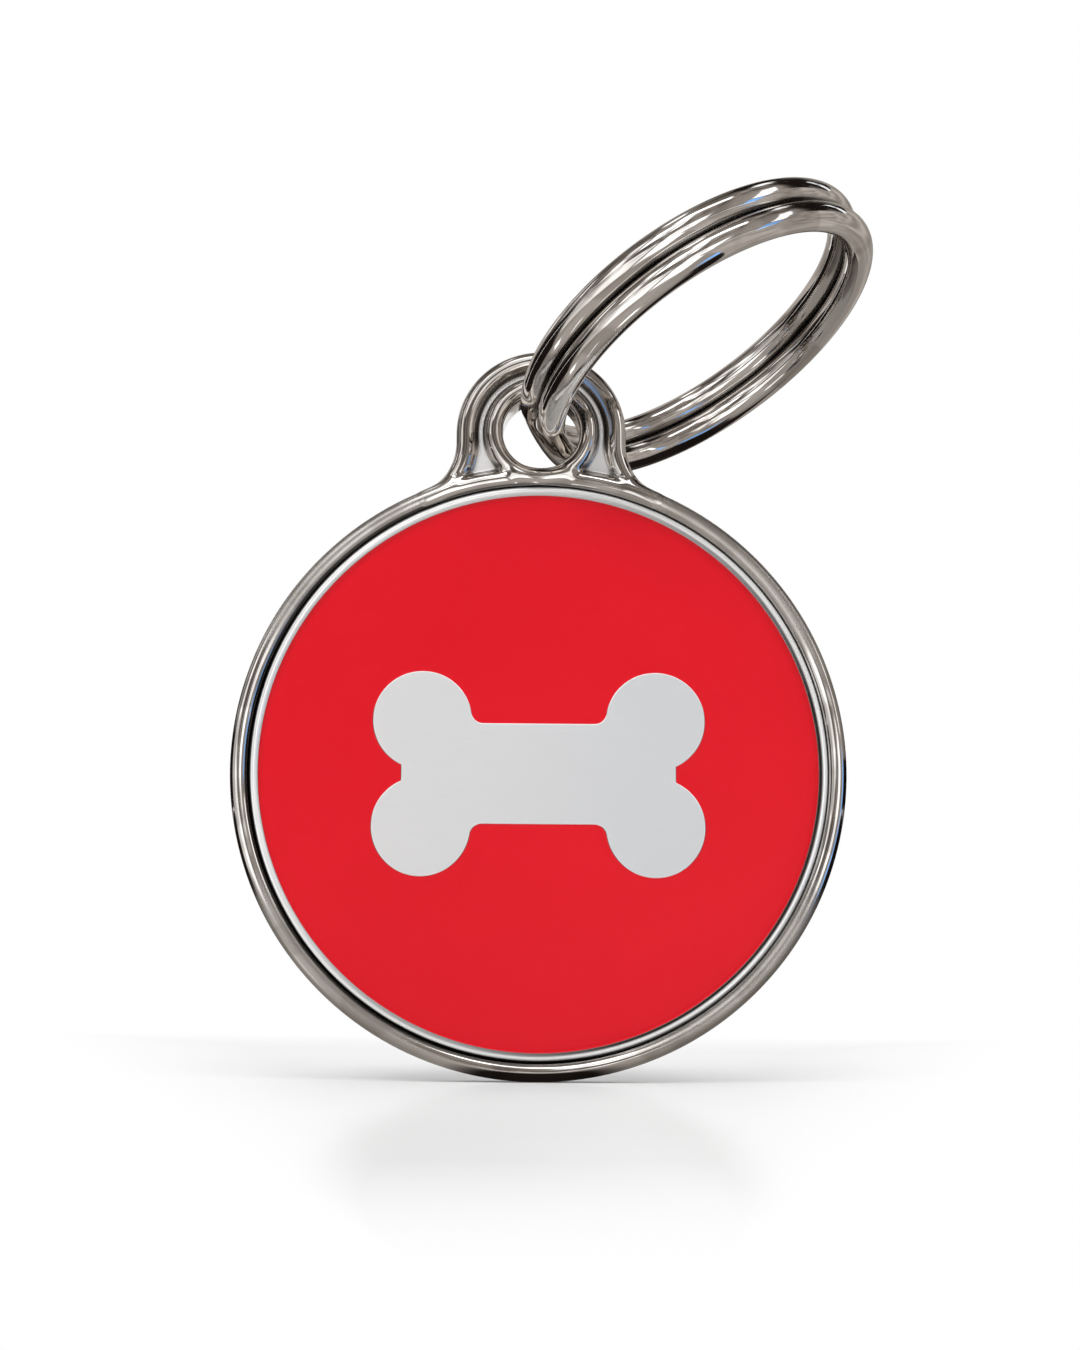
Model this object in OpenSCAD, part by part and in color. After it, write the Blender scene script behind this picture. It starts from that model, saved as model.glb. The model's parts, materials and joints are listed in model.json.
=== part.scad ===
// Round pet identity tag: a beaded metal frame with an eyelet, a dished tray pressed into it from
// behind, red enamel poured round a bone-shaped inlay, and a split ring threaded through the eyelet.
// The tag hangs straight down from the split ring. The origin is the point inside the split ring
// from which the whole object hangs, X runs to the right of the enamelled face, which looks along -Y,
// and Z points up. Every tag piece is drawn lying face up round the disc's centre and then stood up.

/* [Disc] */
// Outer diameter of the frame
disc_d = 30; // [24:0.5:45]
// Depth of the frame from front to back
disc_t = 2.2; // [1.8:0.1:3.5]
// Width of the round bead that borders the disc
bead_w = 0.9; // [0.7:0.05:1.2]
// Radius of the frame's outer edge at the back
back_edge_r = 0.35; // [0.1:0.05:0.5]

/* [Tray] */
// Thickness of the flange that seats behind the frame
flange_t = 0.6; // [0.4:0.05:0.8]
// How far the flange reaches under the frame
flange_reach = 0.3; // [0.15:0.05:0.45]
// Thickness of the tray's floor, flange included
tray_floor_t = 1.0; // [0.85:0.05:1.05]
// Width of the lip that stands up round the enamel
lip_w = 0.44; // [0.3:0.02:0.7]
// How far the lip stays below the top of the bead
lip_drop = 0.25; // [0.05:0.05:0.3]

/* [Enamel and bone] */
// How far the enamel stays below the top of the bead
enamel_drop = 0.55; // [0.5:0.05:0.7]
// How far the bone stands above the enamel
bone_proud = 0.05; // [0.02:0.01:0.12]
// Width and height of the step along the bone's front edge
bone_edge_step = 0.05; // [0.02:0.01:0.08]
// Distance between the lobe centres along the bone
bone_pitch_x = 11.4; // [9:0.2:14]
// Distance between the lobe centres across the bone
bone_pitch_y = 5.2; // [4.9:0.1:6]
// Diameter of each of the four lobes
bone_lobe_d = 4.84; // [4.2:0.02:4.86]
// Height of the bone's shaft
bone_shaft_h = 4.92; // [3:0.02:5]
// Length of the shaft from one end notch to the other
bone_shaft_l = 13.4; // [12.4:0.1:13.6]
// Radius of the fillets between shaft and lobes
bone_fillet_r = 0.6; // [0.3:0.05:0.9]
// How far the middle of the bone lies below the middle of the disc
bone_drop = 0.3; // [0:0.05:0.6]

/* [Eyelet] */
// Play of the ring's two wires, side by side, in the eyelet's hole
ring_play = 0.84; // [0.8:0.02:1.6]
// Width of the round collar about the hole
collar_w = 0.9; // [0.7:0.05:1.1]
// Depth of the collar from front to back
collar_t = 2.34; // [1.8:0.02:2.5]
// Width of the bead along the eyelet's outline
eye_bead_w = 1.0; // [0.8:0.05:1.2]
// Depth of that bead from front to back
eye_bead_t = 1.9; // [1.6:0.05:2.2]
// Width of the recess between collar and bead
eye_recess_w = 0.45; // [0.2:0.05:0.8]
// Thickness of the plate behind the recess
eye_web_t = 1.1; // [0.8:0.05:1.4]
// Radius of the flare from the eyelet's side into the disc
flare_r = 2.9; // [2:0.1:3.2]
// How far the flare sinks into the disc's outline
flare_sink = 0.05; // [0.02:0.01:0.1]

/* [Split ring] */
// Outer diameter of the split ring
ring_od = 19.5; // [16:0.5:25]
// Diameter of the round wire
wire_d = 1.45; // [1:0.05:1.5]
// Gap between the two coils
coil_gap = 0.06; // [0.04:0.01:0.1]
// Part of the circle over which the wire crosses from one coil to the other
cross_angle = 24; // [22:1:40]
// Angle between a wire end and the crossing
end_angle = 2; // [1:0.5:6]
// How much slimmer each bend of the crossing is drawn than the wire before it
bend_slim = 0.01; // [0.005:0.005:0.02]

/* [Hanging pose] */
// Rise of the ring to the right of the tag
ring_rise = 32; // [25:1:60]
// Turn of the ring about the vertical
ring_turn = -9.5; // [-11:0.5:0]
// Tip of the ring about its own diameter
ring_tip = -5; // [-8:0.5:0]
// Share of its play by which the ring stays off the middle of the hole, towards the ring's centre
lift_share = 0.42; // [0:0.02:0.44]

/* [Hidden] */
$fn = 96;
// Overrun of a cut past the face that it leaves
cut_over = 0.2;

disc_r = disc_d / 2;
front_z = disc_t / 2;
back_z = -disc_t / 2;
bore_r = disc_r - bead_w;
flange_r = bore_r + flange_reach;
tray_floor_z = back_z + tray_floor_t;
enamel_r = bore_r - lip_w;
enamel_z = front_z - enamel_drop;
bone_z = enamel_z + bone_proud;

wire_r = wire_d / 2;
coil_r = ring_od / 2 - wire_r;
coil_pitch = wire_d + coil_gap;
// The wire crosses from coil to coil where the ring passes through the eyelet
cross_mid = 180;
coil_sweep = 360 - cross_angle - end_angle;
// Length over which one stretch of the wire runs on inside the next
bend_lap = 0.06;

// The hole takes both wires and their play, and stands on the frame's outline
eye_hole_r = (wire_d + coil_pitch + ring_play) / 2;
ring_lift = lift_share * ring_play;
eye_y = disc_r + eye_hole_r;
eye_bead_r = eye_hole_r + collar_w + eye_recess_w + eye_bead_w / 2;
// The flare's arc stands beside the eyelet and on the disc, so both outlines run into it
flare_x = eye_bead_r + eye_bead_w / 2 + flare_r;
flare_y = sqrt(pow(disc_r + flare_r - flare_sink, 2) - pow(flare_x, 2));
flare_turn = atan2(flare_y, flare_x);
flare_line_r = flare_r + eye_bead_w / 2;

// Two coordinates turned by an angle in their plane
function spun(u, v, angle) = [u * cos(angle) - v * sin(angle), u * sin(angle) + v * cos(angle)];

// A vector of the ring's own frame, tipped, raised and turned into the object's frame
function along_ring(v) =
    let (tipped = spun(v.y, v.z, ring_tip), raised = spun(v.x, tipped.y, ring_rise))
    let (turned = spun(raised.x, tipped.x, ring_turn))
    [turned.x, turned.y, raised.y];

// The ring's centre, and the highest point inside the ring, both seen from the disc's centre
ring_centre = [0, 0, eye_y] + along_ring([coil_r + ring_lift, 0, 0]);
hold_turn = atan2(along_ring([0, 1, 0]).z, along_ring([1, 0, 0]).z);
hold_point = ring_centre + (coil_r - wire_r) * along_ring([cos(hold_turn), sin(hold_turn), 0]);

// The crossing is two equal arcs in space that leave one coil and join the other along its tangent
function coil_point(turn, z) = [coil_r * cos(turn), coil_r * sin(turn), z];
function coil_tangent(turn) = [-sin(turn), cos(turn), 0];
cross_start = coil_point(cross_mid - cross_angle / 2, -coil_pitch / 2);
cross_end = coil_point(cross_mid + cross_angle / 2, coil_pitch / 2);
start_tangent = coil_tangent(cross_mid - cross_angle / 2);
end_tangent = coil_tangent(cross_mid + cross_angle / 2);
cross_span = cross_end - cross_start;
span_run = cross_span * (start_tangent + end_tangent);
tangent_share = 2 - 2 * (start_tangent * end_tangent);
cross_arm = (sqrt(pow(span_run, 2) + tangent_share * (cross_span * cross_span)) - span_run) / tangent_share;
mid_chord = cross_span - cross_arm * (start_tangent + end_tangent);
mid_tangent = mid_chord / norm(mid_chord);
cross_turn = acos(start_tangent * mid_tangent);
cross_r = cross_arm / tan(cross_turn / 2);

// The unit vector from a bend's centre to the point where it leaves along its tangent
function bend_side(tangent, other) =
    let (inward = other - (other * tangent) * tangent) -inward / norm(inward);
function bend_point(point, tangent, side, turn) =
    point + cross_r * ((cos(turn) - 1) * side + sin(turn) * tangent);

// The wire's least gap to itself, measured between points of its middle line from end to end that lie
// at least the given number of wire diameters apart along it
coil_steps = 150;
bend_steps = 12;
apart_share = 3;
wire_line = concat(
    [for (i = [0 : coil_steps])
        coil_point(cross_mid + cross_angle / 2 + end_angle + coil_sweep * i / coil_steps, -coil_pitch / 2)],
    [for (i = [1 : bend_steps])
        bend_point(cross_start, start_tangent, bend_side(start_tangent, mid_tangent),
                   cross_turn * i / bend_steps)],
    [for (i = [bend_steps - 1 : -1 : 0])
        bend_point(cross_end, -end_tangent, bend_side(-end_tangent, -mid_tangent),
                   cross_turn * i / bend_steps)],
    [for (i = [1 : coil_steps])
        coil_point(cross_mid + cross_angle / 2 + coil_sweep * i / coil_steps, coil_pitch / 2)]
);
wire_steps = len(wire_line) - 1;
wire_run = [for (i = 0, run = 0; i <= wire_steps;
                 i = i + 1, run = i > wire_steps ? run : run + norm(wire_line[i] - wire_line[i - 1])) run];
wire_gap = min([for (i = [0 : wire_steps], j = [i : wire_steps])
    if (wire_run[j] - wire_run[i] > apart_share * wire_d) norm(wire_line[i] - wire_line[j])]) - wire_d;
echo(wire_gap = wire_gap);

// Stands a tag piece up and puts it below the point that the ring hangs from
module stand_up() {
    translate(-hold_point) rotate([90, 0, 0]) children();
}

// Puts the ring's own frame in its place beside the tag
module place_ring() {
    translate(ring_centre - hold_point) rotate([ring_tip, -ring_rise, ring_turn]) children();
}

// A section as wide as given and as deep as given, with both ends round, at a radius from the axis
module round_section(radius, width, depth) {
    translate([radius, 0]) {
        square([width, depth - width], center = true);
        for (side = [-1, 1])
            translate([0, side * (depth - width) / 2]) circle(d = width);
    }
}

// The frame's section, from its bore outwards
module frame_section() {
    bead_r = bead_w / 2;
    difference() {
        union() {
            translate([bore_r + bead_r, front_z - bead_r]) circle(r = bead_r);
            translate([bore_r, back_z + back_edge_r]) square([bead_w, disc_t - bead_r - back_edge_r]);
            translate([bore_r, back_z]) square([bead_w - back_edge_r, disc_t - bead_r]);
            translate([disc_r - back_edge_r, back_z + back_edge_r]) circle(r = back_edge_r);
        }
        translate([0, back_z - cut_over]) square([flange_r, flange_t + cut_over]);
    }
}

// The plate that fills the eyelet out to the middle of its bead
module eyelet_web() {
    linear_extrude(height = eye_web_t, center = true) difference() {
        union() {
            translate([0, eye_y]) circle(r = eye_bead_r);
            translate([-flare_x, 0]) square([2 * flare_x, flare_y]);
            translate([-eye_bead_r, 0]) square([2 * eye_bead_r, eye_y]);
        }
        for (side = [-1, 1])
            translate([side * flare_x, flare_y]) circle(r = flare_line_r);
    }
}

// The bead along the eyelet's outline: an arch, two legs and two flares that run into the frame
module eyelet_bead() {
    translate([0, eye_y])
        rotate_extrude(angle = 180) round_section(eye_bead_r, eye_bead_w, eye_bead_t);
    for (side = [0, 1]) mirror([side, 0, 0]) {
        translate([0, flare_y]) rotate([-90, 0, 0])
            linear_extrude(height = eye_y - flare_y) round_section(eye_bead_r, eye_bead_w, eye_bead_t);
        translate([flare_x, flare_y]) rotate([0, 0, 180])
            rotate_extrude(angle = flare_turn) round_section(flare_line_r, eye_bead_w, eye_bead_t);
    }
}

module eyelet_collar() {
    translate([0, eye_y])
        rotate_extrude() round_section(eye_hole_r + collar_w / 2, collar_w, collar_t);
}

// The bone's outline, drawn in by the given amount
module bone_outline(inset = 0) {
    lobe_r = bone_lobe_d / 2;
    // The fillet's centre stands clear of the shaft by its radius and clear of the lobe by both radii
    fillet_y = bone_shaft_h / 2 + bone_fillet_r;
    fillet_x = bone_pitch_x / 2 - sqrt(pow(lobe_r + bone_fillet_r, 2) - pow(fillet_y - bone_pitch_y / 2, 2));
    difference() {
        union() {
            square([bone_shaft_l - 2 * inset, bone_shaft_h - 2 * inset], center = true);
            for (side = [-1, 1])
                translate([side * (bone_pitch_x / 2 + fillet_x) / 2, 0])
                    square([bone_pitch_x / 2 - fillet_x, 2 * fillet_y], center = true);
            for (side_x = [-1, 1], side_y = [-1, 1])
                translate([side_x * bone_pitch_x / 2, side_y * bone_pitch_y / 2]) circle(r = lobe_r - inset);
        }
        for (side_x = [-1, 1], side_y = [-1, 1])
            translate([side_x * fillet_x, side_y * fillet_y]) circle(r = bone_fillet_r + inset);
    }
}

module bone_prism(low, high, inset = 0) {
    translate([0, -bone_drop, low]) linear_extrude(height = high - low) bone_outline(inset);
}

// One bend of the wire: it leaves a point along a tangent and ends along another tangent
module wire_bend(point, tangent, other, r) {
    lap_turn = bend_lap / cross_r * 180 / PI;
    x_axis = bend_side(tangent, other);
    z_axis = cross(x_axis, tangent);
    centre = point - cross_r * x_axis;
    multmatrix([
        [x_axis.x, tangent.x, z_axis.x, centre.x],
        [x_axis.y, tangent.y, z_axis.y, centre.y],
        [x_axis.z, tangent.z, z_axis.z, centre.z]
    ])
        rotate([0, 0, -lap_turn])
            rotate_extrude(angle = cross_turn + 2 * lap_turn) translate([cross_r, 0]) circle(r = r);
}

module coil(start, z) {
    translate([0, 0, z]) rotate([0, 0, start])
        rotate_extrude(angle = coil_sweep) translate([coil_r, 0]) circle(r = wire_r);
}

// The cast frame: border bead, eyelet bead, recessed web and collar in one piece
module rim_frame() {
    color("silver") stand_up() difference() {
        union() {
            rotate_extrude() frame_section();
            difference() {
                union() {
                    eyelet_web();
                    eyelet_bead();
                    eyelet_collar();
                }
                cylinder(r = bore_r, h = disc_t + 2 * cut_over, center = true);
                translate([0, 0, back_z - cut_over]) cylinder(r = flange_r, h = flange_t + cut_over);
            }
        }
        translate([0, eye_y]) cylinder(r = eye_hole_r, h = disc_t + 2 * cut_over, center = true);
    }
}

// The dished tray: its flange seats behind the frame, its lip lines the enamel and its back is engraved
module enamel_tray() {
    lip_r = lip_w / 2;
    color("gainsboro") stand_up() {
        translate([0, 0, back_z]) cylinder(r = flange_r, h = flange_t);
        translate([0, 0, back_z]) cylinder(r = bore_r, h = tray_floor_t);
        rotate_extrude() {
            translate([enamel_r, tray_floor_z - cut_over])
                square([lip_w, front_z - lip_drop - lip_r - tray_floor_z + cut_over]);
            translate([enamel_r + lip_r, front_z - lip_drop - lip_r]) circle(r = lip_r);
        }
    }
}

module red_enamel() {
    color("crimson") stand_up() difference() {
        translate([0, 0, tray_floor_z]) cylinder(r = enamel_r, h = enamel_z - tray_floor_z);
        bone_prism(tray_floor_z - cut_over, enamel_z + cut_over);
    }
}

module bone_inlay() {
    color("lightgray") stand_up() {
        bone_prism(tray_floor_z, bone_z - bone_edge_step);
        bone_prism(tray_floor_z, bone_z, bone_edge_step);
    }
}

// The split ring: one round wire, two coils side by side and the crossing between them
module split_ring() {
    color("darkgray") place_ring() union() {
        coil(cross_mid + cross_angle / 2 + end_angle, -coil_pitch / 2);
        wire_bend(cross_start, start_tangent, mid_tangent, wire_r - bend_slim);
        wire_bend(cross_end, -end_tangent, -mid_tangent, wire_r - 2 * bend_slim);
        coil(cross_mid + cross_angle / 2, coil_pitch / 2);
    }
}

rim_frame();
enamel_tray();
red_enamel();
bone_inlay();
split_ring();
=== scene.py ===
"""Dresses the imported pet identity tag: frame, tray, enamel, bone and split ring in their finishes, on a
pale studio floor. Lengths are metres in the part's own frame; the shape functions work in millimetres."""

import json
import math

import bmesh
import bpy
import numpy as np
from mathutils import Matrix, Vector
from mathutils.geometry import delaunay_2d_cdt
from mathutils.kdtree import KDTree


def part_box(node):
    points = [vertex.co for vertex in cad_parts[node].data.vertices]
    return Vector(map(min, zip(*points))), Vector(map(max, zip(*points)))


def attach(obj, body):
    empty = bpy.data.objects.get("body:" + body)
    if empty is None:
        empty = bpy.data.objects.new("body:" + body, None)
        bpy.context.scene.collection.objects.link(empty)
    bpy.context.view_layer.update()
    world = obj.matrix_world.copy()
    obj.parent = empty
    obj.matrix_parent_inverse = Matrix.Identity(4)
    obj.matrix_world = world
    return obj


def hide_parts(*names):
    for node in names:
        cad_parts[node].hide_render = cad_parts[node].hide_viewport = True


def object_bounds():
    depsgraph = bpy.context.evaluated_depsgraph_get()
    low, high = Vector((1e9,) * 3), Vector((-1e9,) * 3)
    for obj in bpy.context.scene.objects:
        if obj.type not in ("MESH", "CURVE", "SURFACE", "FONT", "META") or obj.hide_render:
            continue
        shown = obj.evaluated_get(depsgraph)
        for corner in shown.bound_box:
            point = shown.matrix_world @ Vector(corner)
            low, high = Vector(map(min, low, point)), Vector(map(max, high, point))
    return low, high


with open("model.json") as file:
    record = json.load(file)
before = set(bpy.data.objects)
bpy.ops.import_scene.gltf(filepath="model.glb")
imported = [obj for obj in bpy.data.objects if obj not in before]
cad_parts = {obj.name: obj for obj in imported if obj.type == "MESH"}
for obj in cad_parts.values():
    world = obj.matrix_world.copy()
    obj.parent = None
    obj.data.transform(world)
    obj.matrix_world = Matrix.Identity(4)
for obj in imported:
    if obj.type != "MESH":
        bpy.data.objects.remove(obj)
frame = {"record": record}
cad_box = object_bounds()

bl_info = {
    "name": "Pet Tag Builder",
    "version": (1, 0, 0),
    "blender": (4, 5, 0),
    "location": "3D View > Sidebar > Pet Tag",
    "description": "Builds an enamelled pet identity tag with its split ring and a studio round it",
    "category": "Add Mesh",
}

MM = 0.001
WHITE = (1.0, 1.0, 1.0)
MOST_TRIANGLES = 200000


def mm(length):
    """A length in metres as millimetres."""
    return length / MM


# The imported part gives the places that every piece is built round
swing = next(joint for joint in frame["record"]["behaviour"]["joints"] if joint["name"] == "tag_swing")
HOLE_CENTRE = Vector(swing["pos_m"])
enamel_low, enamel_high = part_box("red_enamel")
rim_low, rim_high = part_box("rim_frame")
DISC_CENTRE = Vector(((enamel_low[0] + enamel_high[0]) / 2, HOLE_CENTRE.y,
                      (enamel_low[2] + enamel_high[2]) / 2))


# Settings


def length(name, description, default):
    """A length property in metres."""
    return bpy.props.FloatProperty(name=name, description=description, default=default, min=0.0,
                                   unit="LENGTH", precision=5)


def turn(name, description, degrees):
    """An angle property."""
    return bpy.props.FloatProperty(name=name, description=description, default=math.radians(degrees),
                                   subtype="ANGLE", unit="ROTATION")


def share(name, description, default, high=1.0):
    """A property without a unit, from nothing to high."""
    return bpy.props.FloatProperty(name=name, description=description, default=default, min=0.0, max=high,
                                   subtype="FACTOR", precision=3)


def colour(name, description, default):
    """A colour property in scene-linear values."""
    return bpy.props.FloatVectorProperty(name=name, description=description, default=default, size=3,
                                         min=0.0, max=1.0, subtype="COLOR")


def section(kind, name, description):
    """A property that holds a group of others."""
    return bpy.props.PointerProperty(type=kind, name=name, description=description)


class PETTAG_PG_disc(bpy.types.PropertyGroup):
    """Sizes of the disc: frame, tray and enamel."""

    diameter: length("Diameter", "Outer diameter of the frame", rim_high[0] - rim_low[0])
    depth: length("Depth", "Depth of the frame from front to back", 0.0022)
    bead: length("Bead", "Width of the round bead that borders the disc", 0.0009)
    back_edge: length("Back edge", "Radius of the frame's outer edge at the back", 0.00035)
    flange: length("Flange", "Thickness of the tray's flange behind the frame", 0.0006)
    flange_reach: length("Flange reach", "How far the flange reaches under the frame", 0.0003)
    floor: length("Tray floor", "Thickness of the tray's floor", 0.001)
    lip: length("Lip", "Width of the lip that stands up round the enamel", 0.00044)
    crown: length("Crown", "Radius of the border bead's domed front", 0.00047)
    lip_drop: length("Lip drop", "How far the lip stays below the top of the bead", 0.00025)
    enamel_drop: length("Enamel drop", "How far the enamel stays below the top of the bead", 0.00055)
    meniscus: length("Meniscus", "How far the enamel creeps up the lip", 0.00005)


class PETTAG_PG_eyelet(bpy.types.PropertyGroup):
    """Sizes of the eyelet on top of the disc."""

    play: length("Play", "Play of the ring's two wires in the hole", 0.000848)
    collar: length("Collar", "Width of the round collar about the hole", 0.0009)
    collar_depth: length("Collar depth", "Depth of the collar from front to back", 0.00234)
    bead: length("Bead", "Width of the bead along the eyelet's outline", 0.001)
    bead_depth: length("Bead depth", "Depth of that bead from front to back", 0.0019)
    recess: length("Recess", "Width of the recess between collar and bead", 0.00045)
    web: length("Web", "Thickness of the plate behind the recess", 0.0011)
    flare: length("Flare", "Radius of the flare from the eyelet's side into the disc", 0.0029)
    flare_sink: length("Flare sink", "How far the flare sinks into the disc's outline", 0.00005)
    cast_blend: length("Cast blend", "Width over which the cast forms flow into each other", 0.00034)


class PETTAG_PG_bone(bpy.types.PropertyGroup):
    """Sizes of the bone-shaped inlay."""

    proud: length("Proud", "How far the bone stands above the enamel", 0.00005)
    edge: length("Edge", "Radius of the bone's front edge", 0.00005)
    pitch_along: length("Pitch along", "Distance between the lobe centres along the bone", 0.0114)
    pitch_across: length("Pitch across", "Distance between the lobe centres across the bone", 0.0052)
    lobe: length("Lobe", "Diameter of each of the four lobes", 0.00484)
    shaft_height: length("Shaft height", "Height of the bone's shaft", 0.00492)
    shaft_length: length("Shaft length", "Length of the shaft from one end notch to the other", 0.0134)
    fillet: length("Fillet", "Radius of the fillets between shaft and lobes", 0.0006)
    drop: length("Drop", "How far the bone's middle lies below the disc's centre", 0.0003)


class PETTAG_PG_ring(bpy.types.PropertyGroup):
    """Sizes and pose of the split ring."""

    diameter: length("Diameter", "Outer diameter of the split ring", 0.01949)
    wire: length("Wire", "Diameter of the round wire", 0.001446)
    gap: length("Gap", "Gap between the two coils", 0.00006)
    crossing: turn("Crossing", "Part of the circle over which the wire crosses over", 24)
    end_gap: turn("End gap", "Angle between a wire end and the crossing", 2)
    end_edge: length("End edge", "Radius of the edge of a cut wire end", 0.00018)
    rise: turn("Rise", "Rise of the ring to the right of the tag", 32)
    turned: turn("Turn", "Turn of the ring about the vertical", -9.5)
    tip: turn("Tip", "Tip of the ring about its own diameter", -5)
    lift: share("Lift", "Share of its play by which the ring stays off the middle of the hole", 0.42)
    steps: bpy.props.IntProperty(name="Steps", description="Points along the wire", default=900, min=60)
    sides: bpy.props.IntProperty(name="Sides", description="Points round the wire", default=48, min=8)


class PETTAG_PG_finish(bpy.types.PropertyGroup):
    """Colours and gloss of the finishes."""

    nickel: colour("Nickel", "Plating of frame and ring", (0.86, 0.83, 0.80))
    nickel_rough: share("Nickel roughness", "Roughness of the polished plating", 0.07)
    # Painted shade: the dark tone painted into recesses, between the coils and on lip slopes that turn away
    # from the light
    painted_shade_tone: colour("Patina", "Tone that settles in the recesses", (0.024, 0.018, 0.014))
    # Dull tone of random patches and rubbed faces, also painted over the eyelet as shade
    worn_and_shaded: colour("Worn", "Tone of the handled plating on the eyelet", (0.46, 0.425, 0.395))
    # Painted shade on the border bead's flanks that turn right, to the dark side of the studio
    shade: colour("Shade", "Tone of the plating on the border bead's inner flank", (0.15, 0.127, 0.112))
    ripple: length("Ripple", "Height of the soft ripple that casting and polishing leave", 0.000022)
    tray: colour("Tray", "Polished lip and back of the tray", (0.92, 0.92, 0.92))
    enamel: colour("Enamel", "Enamel of the disc", (0.765, 0.008, 0.0185))
    enamel_rough: share("Enamel roughness", "Roughness of the enamel", 0.34)
    bone: colour("Bone", "Satin steel of the bone", (0.83, 0.82, 0.82))
    # Painted shade: the bone is painted darker and cooler towards its right end
    bone_shaded_end: colour("Bone, right end", "Cooler tone of the bone's right end", (0.74, 0.755, 0.78))
    bone_rough: share("Bone roughness", "Roughness of the satin steel", 0.5)


class PETTAG_PG_studio(bpy.types.PropertyGroup):
    """Camera, lamps and floor."""

    lens: bpy.props.FloatProperty(name="Lens", description="Focal length in millimetres", default=50.0)
    camera_place: bpy.props.FloatVectorProperty(
        name="Camera place", description="Camera seen from the disc's centre", size=3,
        default=(-0.0006, -0.0913, -0.0111), subtype="TRANSLATION", unit="LENGTH", precision=5)
    pitch: turn("Pitch", "How far the camera looks up", 9.8)
    yaw: turn("Yaw", "How far the camera looks to the right", 0.4)
    roll: turn("Roll", "How far the camera leans to the left", 0.43)
    fill: share("Fill", "Strength of the even light from all sides", 0.35, 2.0)
    key: share("Key", "Strength of the soft boxes", 1.0, 4.0)


class PETTAG_PG_tag(bpy.types.PropertyGroup):
    """Everything that can be set on the tag."""

    disc: section(PETTAG_PG_disc, "Disc", "Sizes of the disc")
    eyelet: section(PETTAG_PG_eyelet, "Eyelet", "Sizes of the eyelet")
    bone: section(PETTAG_PG_bone, "Bone", "Sizes of the bone")
    ring: section(PETTAG_PG_ring, "Split ring", "Sizes and pose of the ring")
    finish: section(PETTAG_PG_finish, "Finishes", "Colours and gloss")
    studio: section(PETTAG_PG_studio, "Studio", "Camera and light")


# Node trees


class Value:
    """A number from a node's socket, which can be used in plain sums."""

    def __init__(self, tree, socket):
        self.tree = tree
        self.socket = socket

    def math(self, operation, *numbers, **settings):
        """Adds one Math node and returns its result."""
        sockets = dict(enumerate(numbers))
        return self.tree.node("ShaderNodeMath", {"operation": operation, **settings}, sockets).value()

    def __add__(self, other):
        return self.math("ADD", self, other)

    def __sub__(self, other):
        return self.math("SUBTRACT", self, other)

    def __rsub__(self, other):
        return self.math("SUBTRACT", other, self)

    def __mul__(self, other):
        return self.math("MULTIPLY", self, other)

    def __truediv__(self, other):
        return self.math("DIVIDE", self, other)

    def __neg__(self):
        return self.math("MULTIPLY", self, -1.0)

    def __abs__(self):
        return self.math("ABSOLUTE", self)

    __radd__ = __add__
    __rmul__ = __mul__

    def least(self, other):
        return self.math("MINIMUM", self, other)

    def most(self, other):
        return self.math("MAXIMUM", self, other)

    def root(self):
        return self.math("SQRT", self)

    def clamped(self):
        return self.math("ADD", self, 0.0, use_clamp=True)

    def ramp(self, start, end):
        """From 0 at start to 1 at end, with soft ends."""
        sockets = {"Value": self, "From Min": start, "From Max": end}
        settings = {"interpolation_type": "SMOOTHSTEP"}
        return self.tree.node("ShaderNodeMapRange", settings, sockets).value()

    def inside(self, low, high, soft):
        """1 between low and high, falling to 0 over soft."""
        return self.ramp(low - soft, low) * (1 - self.ramp(high, high + soft))


class Node:
    """One node of a tree, with its outputs as values or bare sockets."""

    def __init__(self, tree, node):
        self.tree = tree
        self.node = node

    def out(self, name=0):
        return self.node.outputs[name]

    def value(self, name=0):
        return Value(self.tree, self.node.outputs[name])


class Tree:
    """A node tree that is built by calls."""

    def __init__(self, tree):
        self.tree = tree
        self.tree.nodes.clear()

    def node(self, kind, settings=None, sockets=None):
        """Adds a node: its settings come first, then the values or links of its sockets."""
        made = self.tree.nodes.new(kind)
        for name, setting in (settings or {}).items():
            setattr(made, name, setting)
        for name, value in (sockets or {}).items():
            self._feed(made.inputs[name], value)
        return Node(self, made)

    def _feed(self, socket, value):
        if isinstance(value, Value):
            value = value.socket
        if isinstance(value, Node):
            value = value.out()
        if isinstance(value, bpy.types.NodeSocket):
            self.tree.links.new(value, socket)
        elif socket.type == "RGBA" and len(value) == 3:
            socket.default_value = (*value, 1.0)
        else:
            socket.default_value = value

    def mixed(self, factor, first, second):
        """A colour between two colours."""
        return self.node("ShaderNodeMix", {"data_type": "RGBA"}, {0: factor, 6: first, 7: second}).out(2)

    def vector(self, operation, *vectors):
        """One step of Vector Math, as a bare socket."""
        return self.node("ShaderNodeVectorMath", {"operation": operation}, dict(enumerate(vectors))).out()

    def parts(self, vector):
        """The three numbers of a vector."""
        split = self.node("ShaderNodeSeparateXYZ", sockets={0: vector})
        return split.value(0), split.value(1), split.value(2)

    def joined(self, x, y, z):
        """A vector from three numbers."""
        return self.node("ShaderNodeCombineXYZ", sockets={0: x, 1: y, 2: z}).out()

    def seen(self):
        """1 for rays that show a thing straight, in gloss or through glass, 0 for light on matt faces."""
        path = self.node("ShaderNodeLightPath")
        return (path.value("Is Camera Ray") + path.value("Is Glossy Ray")
                + path.value("Is Transmission Ray")).clamped()


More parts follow.
